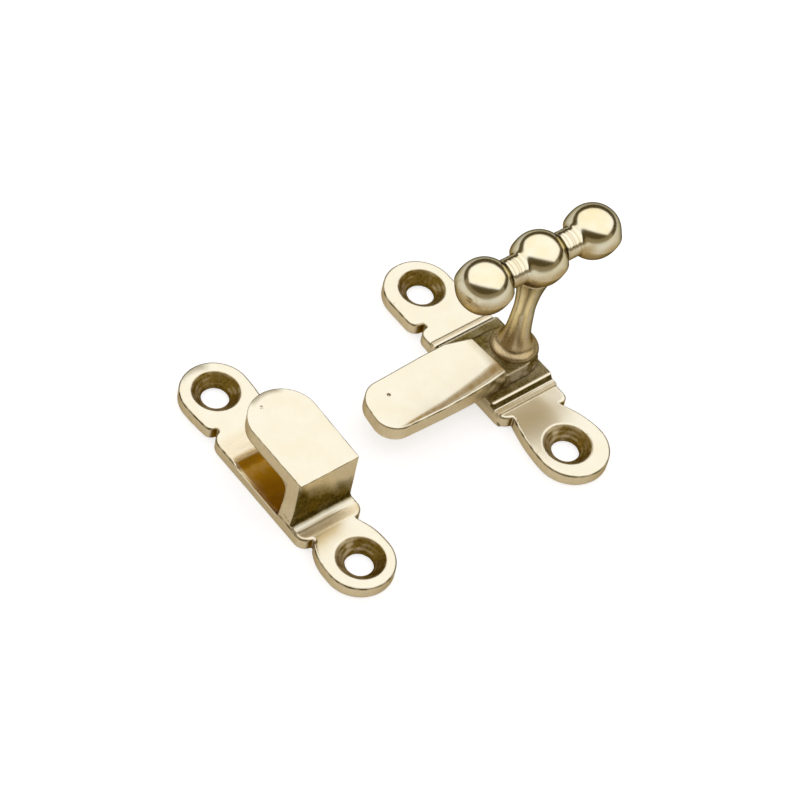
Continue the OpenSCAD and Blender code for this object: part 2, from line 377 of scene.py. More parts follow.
def tongueShape(x, y, z):
    s = tongue
    down = np.clip((s["z1"] - z) / (s["z1"] - s["z0"]), 0, 1)
    right, left = along(y, s["rightEdge"]), along(y, s["leftEdge"])
    right = right + (along(y, s["rightFoot"]) - right) * down
    left = left + (along(y, s["leftFoot"]) - left) * down
    tip = s["tipY"] + s["tipSlant"] * (s["slantTo"] - np.clip(x, s["slantFrom"], s["slantTo"])) - y
    blade = cornerRound(np.maximum(x - right, left - x), tip, s["tipR"])
    blade = cornerRound(blade, y - s["rearY"] - s["rearSlant"] * x, s["rearEdge"])
    width, across = tongueBand(x, y)
    fadeIn = np.clip((y - s["bandFrontY"]) / s["bandFadeIn"], 0, 1)
    dip = s["bandDip"] * width * ramp(np.clip(across, 0, 1), 0, 0.8) * fadeIn
    blade = slab(blade, z, s["z0"], s["z1"] - dip, s["topEdge"], s["bottomEdge"])
    # the hub: a wide foot that tapers upwards, round behind and straight under the blade
    rise = np.clip((z - s["z0"]) / (s["hubZ"] - s["z0"]), 0, 1)
    halfWidth = s["footHalf"] + (s["flankHalf"] - s["footHalf"]) * rise
    flank = np.maximum(np.abs(x) - halfWidth, s["footFront"] - y) / s["flankStretch"]
    foot = np.where(y > s["footY"], np.hypot(x, y - s["footY"]) - halfWidth, flank)
    hub = np.minimum(foot, np.hypot(x, y - axisY) - s["hubR"])
    hub = slab(hub, z, s["z0"], s["hubZ"], s["hubTopEdge"], s["hubBottomEdge"])
    solid = fillet(blade, hub, s["hubFillet"])
    pocket = np.maximum(np.hypot(x, y - axisY) - s["washerR"], z - s["washerZ"])
    square = np.maximum(np.abs(x), np.abs(y - axisY)) - s["squareHalf"]
    return pitted(np.maximum(np.maximum(solid, -pocket), -square), x, y, z, s["z1"], s)


def tongueFinish(p, normal, hollow):
    s = tongue
    x, y, z = p.T
    polish, tarnishAndShade, amber = plainFinish(p, normal, hollow)
    onTop = z > s["z1"] - 0.4
    # painted shade: the hub behind the blade is painted dark and dull
    onHub = ramp(y - s["rearSlant"] * x, s["rearY"] - 0.1, s["rearY"] + 0.1)
    across = tongueBand(x, y)[1]
    # painted shade: the sloping band along the right edge is painted dark, dull and amber
    band = ramp(across, 0.0, 0.45) * ramp(across, 0.85, 0.6) * ramp(y, -18.4, -16) * onTop
    band *= 0.85 + 0.15 * mottle(p, 1.5, 21)
    rear = ramp(y, s["rearY"] - 1.6, s["rearY"] - 0.2) * onTop * s["rearShade"]
    # the hub's flank on the right, right up the blade's side, is left out of the hub's painted shade and gets
    # a lighter painted shade of its own
    flank = ramp(y, -3.5, -0.5) * (x > s["flankFrom"]) * (z < s["hubZ"] - 0.05 + 2 * (y < s["rearY"]))
    polish *= (1 - s["hubShadeDull"] * onHub) * (1 - s["bandShadeDull"] * band) * (1 - rear)
    tarnishAndShade = np.maximum(tarnishAndShade, s["bandShadeTone"] * band)
    tarnishAndShade = np.maximum(tarnishAndShade, np.maximum(s["hubShade"] * onHub * (1 - flank), s["rearTone"] * rear))
    tarnishAndShade = np.maximum(tarnishAndShade, s["flankShade"] * flank)
    shadedAmber = np.maximum(s["bandShadeTone"] * band, s["flankAmber"] * flank)
    return np.maximum(polish, s["flankPolish"] * flank), tarnishAndShade, np.maximum(amber * (1 - flank), shadedAmber)


keeperLow, keeperHigh = boxMm("keeper")
keeperY = (keeperLow[1] + keeperHigh[1]) / 2
keeper = {
    "leftEnd": -9.35, "rightEnd": 9.35, "endSlant": 0.0, "cornerLeft": 1.9, "cornerRight": 1.5,
    "halfWidth": 4.62, "turn": 0.0, "neckHalf": 3.2, "neckFillet": 0.2,
    "topEdge": 0.38, "bottomEdge": 0.12,
    "rightEar": {"endX": 14.35, "endY": -0.15, "endR": 4.42, "shoulderX": 9.75, "near": 3.4, "far": 3.1,
                 "shoulderR": 0.2, "bulge": 2.7, "joinR": 0.25},
    "leftEar": {"endX": 14.4, "endY": 0.0, "endR": 4.52, "shoulderX": 9.75, "near": 4.15, "far": 4.1,
                "shoulderR": 0.9, "bulge": 2.0, "joinR": 0.2},
    "hookUnder": keeperHigh[2] - 2.2, "hookTop": keeperHigh[2], "hookNear": -4.22, "hookFar": 4.3,
    "hookEndX": -2.4, "hookEndY": 0.2, "hookEndR": 4.42, "hookEdge": 0.14, "hookFillet": 0.22,
    "riserIn": 4.25, "riserOut": 6.72, "innerFillet": 1.2, "riserFrom": 0.6,
    "footFlare": 0.3, "flareFrom": 5.0, "flareTo": 1.6,
    "wedgeRise": 0.3, "wedgeRun": 1.0, "wedgeInset": 1.0, "wedgeEdge": 0.7, "wedgeFillet": 0.15,
    "slotZ": 1.4, "slotX": -4.2, "slotRun": 1.2, "slotLift": 0.004,
    "pits": ((-5.2, -1.1, 0.13), (-5.0, -1.35, 0.11), (-4.85, -1.05, 0.08)), "pitRim": 0.04,
    "rimShadeY": -0.9, "rimShadeTone": 0.6, "slotShadeDull": 0.5, "brushDull": 0.5, "besideBrush": 1.6,
    "outsideLessAmber": 0.6,
    "cell": 0.13, "wave": 0.006, "waveSize": 4.0, "waveSeed": 8,
}


def hookShape(x, y, z):
    # the riser and the hook over the slot, as one bent bar with a round end
    s = keeper
    bend = fillet(s["hookUnder"] - z, s["riserIn"] - x, s["innerFillet"])
    widening = np.clip((s["riserOut"] - x) / (s["riserOut"] - s["hookEndX"]), 0, 1)
    far = s["hookFar"] + (s["hookEndY"] + s["hookEndR"] - s["hookFar"]) * widening
    near = s["hookNear"] - s["footFlare"] * ramp(z, s["flareFrom"], s["flareTo"])
    roundEnd = np.hypot(x - s["hookEndX"], y - s["hookEndY"]) - s["hookEndR"]
    plan = np.where(x < s["hookEndX"], roundEnd, np.maximum(near - y, y - far))
    hook = cornerRound(bend, plan, s["hookEdge"])
    hook = cornerRound(hook, x - s["riserOut"], s["hookEdge"])
    return np.maximum(cornerRound(hook, z - s["hookTop"], s["hookEdge"]), s["riserFrom"] - z)


def keeperShape(x, y, z):
    s = keeper
    y = y - keeperY
    outline = plateOutline(x, y, s)
    base = slab(outline, z, 0, earT, s["topEdge"], s["bottomEdge"])
    # the slot under the hook ends in a slope on the open side
    slotStart = s["slotX"] - s["slotRun"]
    slotFloor = earT + (s["slotZ"] - earT) * ramp(x, slotStart, s["slotX"] + s["slotRun"])
    slot = np.maximum(x - s["riserIn"], slotFloor - z - s["slotLift"] * (x < slotStart))
    base = np.maximum(base, -slot)
    # a low wedge at the riser's outer foot slopes down to the plate
    slope = s["wedgeRise"] / s["wedgeRun"]
    wedge = (z - earT - slope * (s["riserOut"] + s["wedgeRun"] - x)) / math.hypot(1, slope)
    wedge = np.maximum(np.maximum(wedge, s["riserIn"] + s["wedgeInset"] - x), -z)
    wedge = np.maximum(wedge, outline + s["topEdge"] * s["wedgeEdge"])
    solid = fillet(fillet(base, wedge, s["wedgeFillet"]), hookShape(x, y, z), s["hookFillet"])
    solid = pitted(np.maximum(solid, outline), x, y, z, s["hookTop"], s)
    return drilled(solid, x, y, z)


def rimShade(x, y, middleX, middleY, innerR, outerR=4.3, arcFrom=0.78, arcTo=0.96):
    # a crescent along the -X side of a round end, painted dark as the reflection of the dark room in its
    # rounded rim
    distance = np.hypot(x - middleX, y - middleY)
    onArc = ramp(middleX - x, arcFrom * distance, arcTo * distance + 0.01)
    return ramp(distance, innerR, outerR) * onArc


def keeperFinish(p, normal, hollow):
    s = keeper
    x, y, z = p[:, 0], p[:, 1] - keeperY, p[:, 2]
    plate = np.stack([x, y, z], 1)
    polish, tarnishAndShade, amber = plainFinish(p, normal, hollow)
    sinks = inSinks(plate)
    onPlate = (z > faceLow) * (z < faceHigh)
    # painted shade and reflection: the slot under the hook is painted fully dark and amber, and duller
    inSlot = ramp(x, s["slotX"] - 0.4, s["slotX"] - 0.1) * (x < s["riserIn"] + 0.3)
    inSlot *= ramp(np.abs(y), s["halfWidth"] - 0.3, s["halfWidth"] - 0.6) * (z < s["hookUnder"] + 0.3)
    outside = (x > s["riserOut"] - 0.2) * ramp(z, earT + 0.1, earT + 0.3)
    outside *= ramp(z, s["hookTop"] - 0.1, s["hookTop"] - 0.3)
    # darker towards the lower front of the riser's outer face, with less amber on that face
    lowFront = ramp(z + 0.5 * y + 0.5 * mottle(p, 2.5, 31), 8.6, 4.6)
    # the plate is brushed across, left of the slot and beside the wedge
    brushed = ramp(x, s["slotX"] - 0.2, s["slotX"] - 0.8) * ramp(x, -8.6, -7.2) * onPlate
    beside = x - s["riserOut"] - s["wedgeRun"]
    beside = ramp(beside, 0.0, 0.25) * ramp(beside, 1.5, 1.1) * (z > faceLow)
    brushed = np.maximum(brushed, s["besideBrush"] * beside)
    # painted reflection: dark crescents on the rims of the hook's end and the left ear
    darkRim = rimShade(x, y, s["hookEndX"], s["hookEndY"], 3.5) * (z > s["hookTop"] - 0.4)
    darkRim = np.maximum(darkRim, rimShade(x, y, -s["leftEar"]["endX"], s["rimShadeY"], 3.2) * onPlate)
    polish *= (1 - sinks) * (1 - s["slotShadeDull"] * inSlot) * (1 - s["brushDull"] * brushed)
    tarnishAndShade = np.maximum(tarnishAndShade, np.maximum(sinkTone(plate) * sinks, inSlot))
    tarnishAndShade = np.maximum(tarnishAndShade, np.maximum(outside * lowFront, s["rimShadeTone"] * darkRim))
    amber = np.maximum(np.maximum(amber, screw["sinkAmber"] * sinks), inSlot)
    return polish, tarnishAndShade, amber * (1 - s["outsideLessAmber"] * outside)


stemLow, stemHigh = boxMm("stem")
ballLow, ballHigh = boxMm("ball_bar")
ballR = (ballHigh[0] - ballLow[0]) / 2
ballZ = ballHigh[2] - ballR
stem = {
    "collarR": 2.8, "collarZ": (3.95, 4.3), "collarEdge": 0.34, "underEdge": 0.02, "collarFillet": 0.9,
    "waistR": 1.35, "waistZ": ballZ - 9.1, "footTaper": 0.35, "footFlare": 0.9, "shaftEdge": 0.03,
    "seatZ": ballZ - 2.85, "seatR": 2.28, "edge": 0.05, "tenonR": 1.0, "tenonEdge": 0.1, "overlap": 0.3,
    "shankHalf": 1.29, "shankFrom": 3.06, "journalR": 1.0, "tailR": 1.5, "tailSlope": 0.6, "tailEdge": 0.2,
    "polish": 0.75, "footDull": 0.4, "tarnishAndShade": 0.18, "footShade": 0.2, "amber": 0.7,
    "cell": 0.09, "wave": 0,
}


def stemShape(x, y, z):
    s = stem
    y = y - axisY
    rho = np.hypot(x, y)
    base, top = s["collarZ"]
    farthest = 1.02  # both curves run on a little past the shaft's ends
    foot = np.clip((s["waistZ"] - z) / (s["waistZ"] - top), 0, farthest)
    head = np.clip((z - s["waistZ"]) / (s["seatZ"] - s["waistZ"]), 0, farthest)
    radius = (s["waistR"] + s["footTaper"] * foot + s["footFlare"] * foot ** 5
              + (s["seatR"] - s["waistR"]) * head ** 2)
    shaft = slab(rho - radius, z, base, s["seatZ"], s["shaftEdge"], s["shaftEdge"])
    collar = slab(rho - s["collarR"], z, base, top, s["collarEdge"], s["underEdge"])
    journal = slab(rho - s["journalR"], z, stemLow[2], base + s["overlap"], s["edge"], s["edge"])
    spread = np.clip((pivot["coneZ"] - z) * s["tailSlope"], 0, s["tailR"] - s["journalR"])
    tail = cornerRound(rho - s["journalR"] - spread, z - pivot["coneZ"], s["edge"])
    tail = cornerRound(tail, stemLow[2] - z, s["tailEdge"])
    shank = np.maximum(np.abs(x), np.abs(y)) - s["shankHalf"]
    shank = slab(shank, z, s["shankFrom"], base + 0.2, s["edge"], s["edge"])
    tenon = slab(rho - s["tenonR"], z, s["seatZ"] - s["overlap"], stemHigh[2], s["tenonEdge"], s["tenonEdge"])
    solid = fillet(shaft, collar, s["collarFillet"])
    for part in (journal, tail, shank, tenon):
        solid = np.minimum(solid, part)
    return solid


def stemFinish(p, normal, hollow):
    # duller and darker towards the foot as painted shade, and darker in its hollows
    s = stem
    low = ramp(p[:, 2], 12.0, 5.0)
    tarnishAndShade = np.maximum(0.5 * ramp(hollow, 0.2, 0.8), s["tarnishAndShade"] + s["footShade"] * low)
    return s["polish"] - s["footDull"] * low, tarnishAndShade, np.full(len(p), s["amber"])


def mathNode(tree, operation, *values):
    # each value is a number or the socket that it comes from
    node = tree.nodes.new("ShaderNodeMath")
    node.operation = operation
    for slotIndex, value in enumerate(values):
        if isinstance(value, (int, float)):
            node.inputs[slotIndex].default_value = value
        else:
            tree.links.new(value, node.inputs[slotIndex])
    return node.outputs[0]


def nodeAfter(tree, kind, source, **settings):
    # a node that takes its first input from the node before it
    node = tree.nodes.new(kind)
    tree.links.new(source, node.inputs[0])
    for label, amount in settings.items():
        node.inputs[label].default_value = amount
    return node.outputs[0]


ballBar = {
    # the turning's inputs, in millimetres: its balls are a little smaller than the solid's, and its
    # middle lies a little behind the stem's axis
    "inputs": {"Ball radius": ballR - 0.16, "Spacing": 8.5, "Neck radius": 1.9, "Height": ballZ,
               "Axis Y": axisY + 0.12, "Softness": 0.6, "Ring depth": 0.007, "Ring pitch": 0.62,
               "Parting swell": 0.055},
    "around": 128, "along": 481, "mergeWithin": 0.000004,
    "ringFadeRate": 1.6, "ringFadeFrom": 1.9, "ringFadeSoftness": 0.3,
    "swellHeight": 0.46, "swellFadeOut": 0.7, "swellSharpness": 2.0,
    "wave": 0.004, "waveSize": 4.5, "waveSeed": 23,
    "lowerHalfShadeDull": 0.75, "lowerHalfShade": 0.36, "grooveTone": 0.3, "amber": 0.75,
}


def turnedRadius(tree, value, axial, offset):
    # the bar's radius: a ball, or a softly joined and finely ringed neck between two of them
    s = ballBar
    ball = mathNode(tree, "SUBTRACT", mathNode(tree, "POWER", value["Ball radius"], 2.0),
                    mathNode(tree, "MULTIPLY", offset, offset))
    ball = mathNode(tree, "SQRT", mathNode(tree, "MAXIMUM", ball, 0.0))
    between = mathNode(tree, "LESS_THAN", mathNode(tree, "ABSOLUTE", axial), value["Spacing"])
    fromNeck = mathNode(tree, "SUBTRACT", mathNode(tree, "ABSOLUTE", offset),
                        mathNode(tree, "MULTIPLY", value["Spacing"], 0.5))
    # the rings fade out towards the balls
    turns = mathNode(tree, "DIVIDE", fromNeck, value["Ring pitch"])
    ringWave = mathNode(tree, "SINE", mathNode(tree, "MULTIPLY", 2 * math.pi, turns))
    ringFade = mathNode(tree, "MULTIPLY", fromNeck, s["ringFadeRate"])
    ringFade = mathNode(tree, "ADD", ringFade, s["ringFadeFrom"])
    ringFade = mathNode(tree, "SMOOTH_MIN", ringFade, 1.0, s["ringFadeSoftness"])
    ringFade = mathNode(tree, "MAXIMUM", ringFade, 0.0)
    rings = mathNode(tree, "MULTIPLY", mathNode(tree, "MULTIPLY", ringWave, value["Ring depth"]), ringFade)
    neck = mathNode(tree, "MULTIPLY", mathNode(tree, "ADD", value["Neck radius"], rings), between)
    radius = tree.nodes.new("GeometryNodeSwitch")
    radius.input_type = "FLOAT"
    tree.links.new(between, radius.inputs[0])
    tree.links.new(ball, radius.inputs[1])
    tree.links.new(mathNode(tree, "SMOOTH_MAX", ball, neck, value["Softness"]), radius.inputs[2])
    return radius.outputs[0]


def partingSwell(tree, value, radius, rise):
    # the casting's parting line stands proud round each ball at mid height
    s = ballBar
    fall = mathNode(tree, "DIVIDE", mathNode(tree, "ABSOLUTE", rise),
                    mathNode(tree, "MULTIPLY", value["Ball radius"], s["swellHeight"]))
    level = mathNode(tree, "SUBTRACT", 1.0, fall)
    onBall = mathNode(tree, "SUBTRACT", radius, value["Neck radius"])
    onBall = mathNode(tree, "DIVIDE", onBall, s["swellFadeOut"])
    for clipped in (level, onBall):
        clipped.node.use_clamp = True
    swell = mathNode(tree, "MULTIPLY", mathNode(tree, "POWER", level, s["swellSharpness"]),
                     mathNode(tree, "MULTIPLY", onBall, value["Parting swell"]))
    return mathNode(tree, "ADD", swell, 1.0)


def turningTree(material):
    # a grid rolled round the bar's axis: its radius follows the distance to the nearest ball
    tree = bpy.data.node_groups.new("ballBarTurning", "GeometryNodeTree")
    tree.interface.new_socket("Geometry", in_out="OUTPUT", socket_type="NodeSocketGeometry")
    sockets = {name: tree.interface.new_socket(name, in_out="INPUT", socket_type="NodeSocketFloat")
               for name in ballBar["inputs"]}
    source = tree.nodes.new("NodeGroupInput")
    value = {name: source.outputs[name] for name in sockets}
    grid = tree.nodes.new("GeometryNodeMeshGrid")
    for label, amount in (("Size X", 2.0), ("Size Y", 2.0), ("Vertices X", ballBar["along"]),
                          ("Vertices Y", ballBar["around"] + 1)):
        grid.inputs[label].default_value = amount
    place = tree.nodes.new("GeometryNodeInputPosition")
    split = tree.nodes.new("ShaderNodeSeparateXYZ")
    tree.links.new(place.outputs[0], split.inputs[0])
    # axial is the place along the bar, offset how far that is from the nearest ball's middle
    reach = mathNode(tree, "ADD", value["Spacing"], value["Ball radius"])
    quarterTurn = mathNode(tree, "MULTIPLY", split.outputs[0], math.pi / 2)
    axial = mathNode(tree, "MULTIPLY", mathNode(tree, "SINE", quarterTurn), reach)
    nearest = mathNode(tree, "ROUND", mathNode(tree, "DIVIDE", axial, value["Spacing"]))
    offset = mathNode(tree, "SUBTRACT", axial, mathNode(tree, "MULTIPLY", nearest, value["Spacing"]))
    radius = turnedRadius(tree, value, axial, offset)
    angle = mathNode(tree, "MULTIPLY", split.outputs[1], math.pi)
    rise = mathNode(tree, "MULTIPLY", mathNode(tree, "SINE", angle), radius)
    swell = partingSwell(tree, value, radius, rise)
    flatAcross = mathNode(tree, "MULTIPLY", mathNode(tree, "COSINE", angle), radius)
    across = mathNode(tree, "MULTIPLY", flatAcross, swell)
    upward = mathNode(tree, "ADD", rise, value["Height"])
    middle = mathNode(tree, "SUBTRACT", axial, offset)
    lengthwise = mathNode(tree, "ADD", middle, mathNode(tree, "MULTIPLY", offset, swell))
    lengthwise = mathNode(tree, "ADD", lengthwise, value["Axis Y"])
    combine = tree.nodes.new("ShaderNodeCombineXYZ")
    for slotIndex, part in enumerate((across, lengthwise, upward)):
        tree.links.new(mathNode(tree, "MULTIPLY", part, mm), combine.inputs[slotIndex])
    move = tree.nodes.new("GeometryNodeSetPosition")
    tree.links.new(grid.outputs["Mesh"], move.inputs["Geometry"])
    tree.links.new(combine.outputs[0], move.inputs["Position"])
    shape = nodeAfter(tree, "GeometryNodeMergeByDistance", move.outputs[0], Distance=ballBar["mergeWithin"])
    shape = nodeAfter(tree, "GeometryNodeSetShadeSmooth", shape)
    shape = nodeAfter(tree, "GeometryNodeRealizeInstances", shape)
    shape = nodeAfter(tree, "GeometryNodeSetMaterial", shape, Material=material)
    tree.links.new(shape, tree.nodes.new("NodeGroupOutput").inputs[0])
    return tree, sockets


def finishBallBar(mesh):
    # slight waves in the balls, a painted darker reflection and a duller finish on their lower halves, and
    # darker grooves in the necks
    s = ballBar
    spacing, barY = s["inputs"]["Spacing"], s["inputs"]["Axis Y"]
    p = np.empty(len(mesh.vertices) * 3, np.float32)
    mesh.vertices.foreach_get("co", p)
    p = p.reshape(-1, 3) / mm
    axial = p[:, 1] - barY
    nearestY = barY + spacing * np.clip(np.round(axial / spacing), -1, 1)
    center = np.stack([np.zeros(len(p)), nearestY, np.full(len(p), ballZ)], 1)
    p += (p - center) * (s["wave"] * ripple(p, s["waveSize"], s["waveSeed"]))[:, None]
    mesh.vertices.foreach_set("co", (p * mm).astype(np.float32).ravel())
    fromMiddle = np.abs(p[:, 1] - barY)
    offset = np.abs(fromMiddle - spacing * np.clip(np.round(fromMiddle / spacing), 0, 1))
    # painted reflection: the balls' lower halves are painted darker
    low = ramp(p[:, 2] - ballZ + 0.4 * mottle(p, 3.0, 17), 1.3, -0.2)
    onNeck = ramp(offset, spacing / 2 - 1.6, spacing / 2 - 1.1)
    turns = (offset - spacing / 2) / s["inputs"]["Ring pitch"]
    groove = onNeck * ramp(np.sin(turns * 2 * math.pi), 0.0, -0.9)
    tarnishAndShade = np.maximum(s["grooveTone"] * groove, s["lowerHalfShade"] * low)
    addLayers(mesh, (1 - s["lowerHalfShadeDull"] * low, tarnishAndShade, np.full(len(p), s["amber"])))


def buildBallBar(material):
    # the tree is evaluated on an empty mesh, and its result is kept as a plain mesh
    tree, sockets = turningTree(material)
    holder = addObject("ballBarSource", bpy.data.meshes.new("ballBarSource"))
    modifier = holder.modifiers.new("turning", "NODES")
    modifier.node_group = tree
    for name, amount in ballBar["inputs"].items():
        modifier[sockets[name].identifier] = float(amount)
    evaluated = holder.evaluated_get(bpy.context.evaluated_depsgraph_get())
    mesh = bpy.data.meshes.new_from_object(evaluated)
    holder.modifiers.clear()
    bpy.data.objects.remove(holder)
    piece = addObject("ballBar", mesh)
    finishBallBar(mesh)
    print("ballBar has", len(mesh.polygons), "faces")
    return piece


def mapRange(tree, value, fromLow, fromHigh, low=0.0, high=1.0, smooth=False):
    node = tree.nodes.new("ShaderNodeMapRange")
    if smooth:
        node.interpolation_type = "SMOOTHSTEP"
    for label, amount in (("From Min", fromLow), ("From Max", fromHigh), ("To Min", low), ("To Max", high)):
        node.inputs[label].default_value = amount
    tree.links.new(value, node.inputs["Value"])
    return node.outputs["Result"]


def mixed(tree, factor, first, second):
    # the first colour where the factor is 0 and the second where it is 1
    node = tree.nodes.new("ShaderNodeMix")
    node.data_type = "RGBA"
    tree.links.new(factor, node.inputs["Factor"])
    for socket, value in ((node.inputs[6], first), (node.inputs[7], second)):
        if isinstance(value, tuple):
            socket.default_value = (*value, 1)
        else:
            tree.links.new(value, socket)
    return node.outputs[2]


def attribute(tree, label):
    node = tree.nodes.new("ShaderNodeAttribute")
    node.attribute_name = label
    return node.outputs["Fac"]


def noise(tree, place, scales, detail, roughness):
    # an uneven pattern, its scales in grains per millimetre along X, Y and Z
    mapping = tree.nodes.new("ShaderNodeMapping")
    mapping.inputs["Scale"].default_value = [amount * 1000 for amount in scales]
    tree.links.new(place, mapping.inputs["Vector"])
    texture = tree.nodes.new("ShaderNodeTexNoise")
    for label, amount in (("Scale", 1.0), ("Detail", detail), ("Roughness", roughness)):
        texture.inputs[label].default_value = amount
    tree.links.new(mapping.outputs["Vector"], texture.inputs["Vector"])
    return texture.outputs["Fac"]


def brassColor(tree, look, layers, clouds, grain):
    # polished faces, rougher sides and the dark layer in one metal, and how deep the dark layer is: tarnish
    # together with painted shade and painted reflections
    polish, tarnishAndShade, amber = layers
    side = mixed(tree, mapRange(tree, grain, 0.35, 0.65), look["sideDark"], look["side"])
    face = mixed(tree, mapRange(tree, clouds, 0.3, 0.7), look["face"], look["faceWarm"])
    darkening = mixed(tree, mapRange(tree, grain, 0.35, 0.7), look["tarnishAndShade"], look["tarnishAndShadePale"])
    darkening = mixed(tree, amber, darkening, look["amber"])
    patches = mapRange(tree, clouds, 0.25, 0.75, look["darkeningLeast"], look["darkeningMost"])
    depth = mathNode(tree, "MULTIPLY", tarnishAndShade, patches)
    depth.node.use_clamp = True
    return mixed(tree, depth, mixed(tree, polish, side, face), darkening), depth


def brassSurface(tree, look, polish, depth, grain, strokes):
    # brush strokes and grain show most where the metal is least polished
    dull = mathNode(tree, "SUBTRACT", 1.0, polish)
    worked = mathNode(tree, "ADD", mathNode(tree, "MULTIPLY", dull, look["workedRate"]), look["workedLeast"])
    uneven = mapRange(tree, strokes, 0.3, 0.7, look["smoother"], look["rougher"])
    uneven = mathNode(tree, "MULTIPLY", uneven, worked)
    gloss = mapRange(tree, polish, 0, 1, look["sideRoughness"], look["roughness"])
    gloss = mathNode(tree, "ADD", gloss, uneven)
    gloss = mathNode(tree, "ADD", gloss, mathNode(tree, "MULTIPLY", depth, look["darkeningRoughness"]))
    rough = mathNode(tree, "MULTIPLY", mathNode(tree, "MULTIPLY", dull, grain), look["grainDepth"])
    brushed = mathNode(tree, "MULTIPLY", mathNode(tree, "MULTIPLY", strokes, worked), look["strokeDepth"])
    bump = tree.nodes.new("ShaderNodeBump")
    bump.inputs["Distance"].default_value = mm
    tree.links.new(mathNode(tree, "ADD", rough, brushed), bump.inputs["Height"])
    return gloss, bump.outputs["Normal"]


def brass(name, look):
    # one metal whose polish, dark layer and amber tint come from three point attributes; the dark layer is
    # tarnish together with painted shade
    material = bpy.data.materials.new(name)
    material.use_nodes = True
    tree = material.node_tree
    shader = tree.nodes["Principled BSDF"]
    shader.inputs["Metallic"].default_value = 1.0
    shader.inputs["Specular Tint"].default_value = (*look["rim"], 1)
    place = tree.nodes.new("ShaderNodeTexCoord").outputs["Object"]
    layers = [attribute(tree, label) for label in ("polish", "tarnishAndShade", "amber")]
    clouds = noise(tree, place, look["clouds"], 3.0, 0.55)
    grain = noise(tree, place, look["grain"], 4.0, 0.65)
    strokes = noise(tree, place, look["strokes"], 2.0, 0.6)
    color, depth = brassColor(tree, look, layers, clouds, grain)
    gloss, normal = brassSurface(tree, look, layers[0], depth, grain, strokes)
    tree.links.new(color, shader.inputs["Base Color"])
    tree.links.new(gloss, shader.inputs["Roughness"])
    tree.links.new(normal, shader.inputs["Normal"])
    print("material", name, "made")
    return material


castLook = {
    "rim": (0.35, 0.28, 0.15),
    "face": (0.93, 0.87, 0.69), "faceWarm": (0.9, 0.83, 0.62),
    "side": (0.96, 0.81, 0.54), "sideDark": (0.86, 0.71, 0.43),
    "tarnishAndShade": (0.07, 0.045, 0.007), "tarnishAndShadePale": (0.26, 0.2, 0.055), "amber": (0.46, 0.24, 0.01),
    "roughness": 0.22, "sideRoughness": 0.38,
    "darkeningRoughness": 0.12, "darkeningLeast": 0.85, "darkeningMost": 1.25,
    "clouds": (0.35, 0.35, 0.35), "grain": (3.2, 3.2, 3.2), "grainDepth": 0.02,
    "strokes": (0.35, 7.0, 0.35), "strokeDepth": 0.012, "smoother": -0.05, "rougher": 0.09,
    "workedRate": 1.5, "workedLeast": 0.12,
}
keeperLook = dict(castLook, strokes=(7.0, 0.35, 0.35))
turnedLook = dict(castLook, rim=(0.06, 0.045, 0.01),
                  face=(0.96, 0.9, 0.7), faceWarm=(0.92, 0.81, 0.5),
                  side=(0.84, 0.67, 0.4), sideDark=(0.68, 0.52, 0.26),
                  roughness=0.16, sideRoughness=0.3,
                  strokes=(0.5, 8.0, 0.5), grainDepth=0.006, strokeDepth=0.002)
washerLook = dict(castLook, face=(0.62, 0.5, 0.26), faceWarm=(0.55, 0.43, 0.2), roughness=0.35)
castBrass = brass("castBrass", castLook)
keeperBrass = brass("keeperBrass", keeperLook)
turnedBrass = brass("turnedBrass", turnedLook)
washerBrass = brass("washerBrass", washerLook)


def fit(piece, body, node, material):
    # gives a piece its brass if it has none, hides the solid that it stands for and hangs it on its body
    if not piece.data.materials:
        piece.data.materials.append(material)
    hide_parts(node)
    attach(piece, body)
    print(piece.name, "replaces", node)


fit(skin("latchPlate", latchShape, latchFinish, latchLow, latchHigh, latchPlate),
    "plate", "latch_plate", castBrass)
fit(skin("tongueBlade", tongueShape, tongueFinish, tongueLow, tongueHigh, tongue),
    "turn_handle", "tongue", castBrass)
fit(skin("keeperHook", keeperShape, keeperFinish, keeperLow, keeperHigh, keeper),
    "keeper", "keeper", keeperBrass)
fit(skin("handleStem", stemShape, stemFinish, stemLow, stemHigh, stem),
    "turn_handle", "stem", turnedBrass)
fit(buildBallBar(turnedBrass), "turn_handle", "ball_bar", turnedBrass)
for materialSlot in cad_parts["friction_washer"].material_slots:
    materialSlot.material = washerBrass


def directRays(tree):
    # 1 for the rays that show the background itself, and the sockets for the other kinds of ray
    path = tree.nodes.new("ShaderNodeLightPath").outputs
    return mathNode(tree, "MAXIMUM", path["Is Camera Ray"], path["Is Transmission Ray"]), path


paper = {"half": 1.5, "level": -0.0001, "color": (0.52, 0.515, 0.5), "whiteness": 0.66, "mirrored": 0.25}


def makeFloor():
    # a sheet just below the plates' backs, white to the camera and weaker in the metal's reflections
    half, level = paper["half"], paper["level"]
    mesh = bpy.data.meshes.new("floor")
    corners = [(-half, -half, level), (half, -half, level), (half, half, level), (-half, half, level)]
    mesh.from_pydata(corners, [], [(0, 1, 2, 3)])
    floor = addObject("floor", mesh)
    material = bpy.data.materials.new("paper")
    material.use_nodes = True
    tree = material.node_tree
    shader = tree.nodes["Principled BSDF"]
    shader.inputs["Base Color"].default_value = (*paper["color"], 1)
    shader.inputs["Roughness"].default_value = 1.0
    shader.inputs["Specular IOR Level"].default_value = 0.0
    shader.inputs["Emission Color"].default_value = (1, 1, 1, 1)
    seen, path = directRays(tree)
    lift = mathNode(tree, "ADD", mathNode(tree, "MULTIPLY", seen, paper["whiteness"]),
                    mathNode(tree, "MULTIPLY", path["Is Glossy Ray"], paper["mirrored"]))
    tree.links.new(lift, shader.inputs["Emission Strength"])
    mesh.materials.append(material)
    print("floor laid")


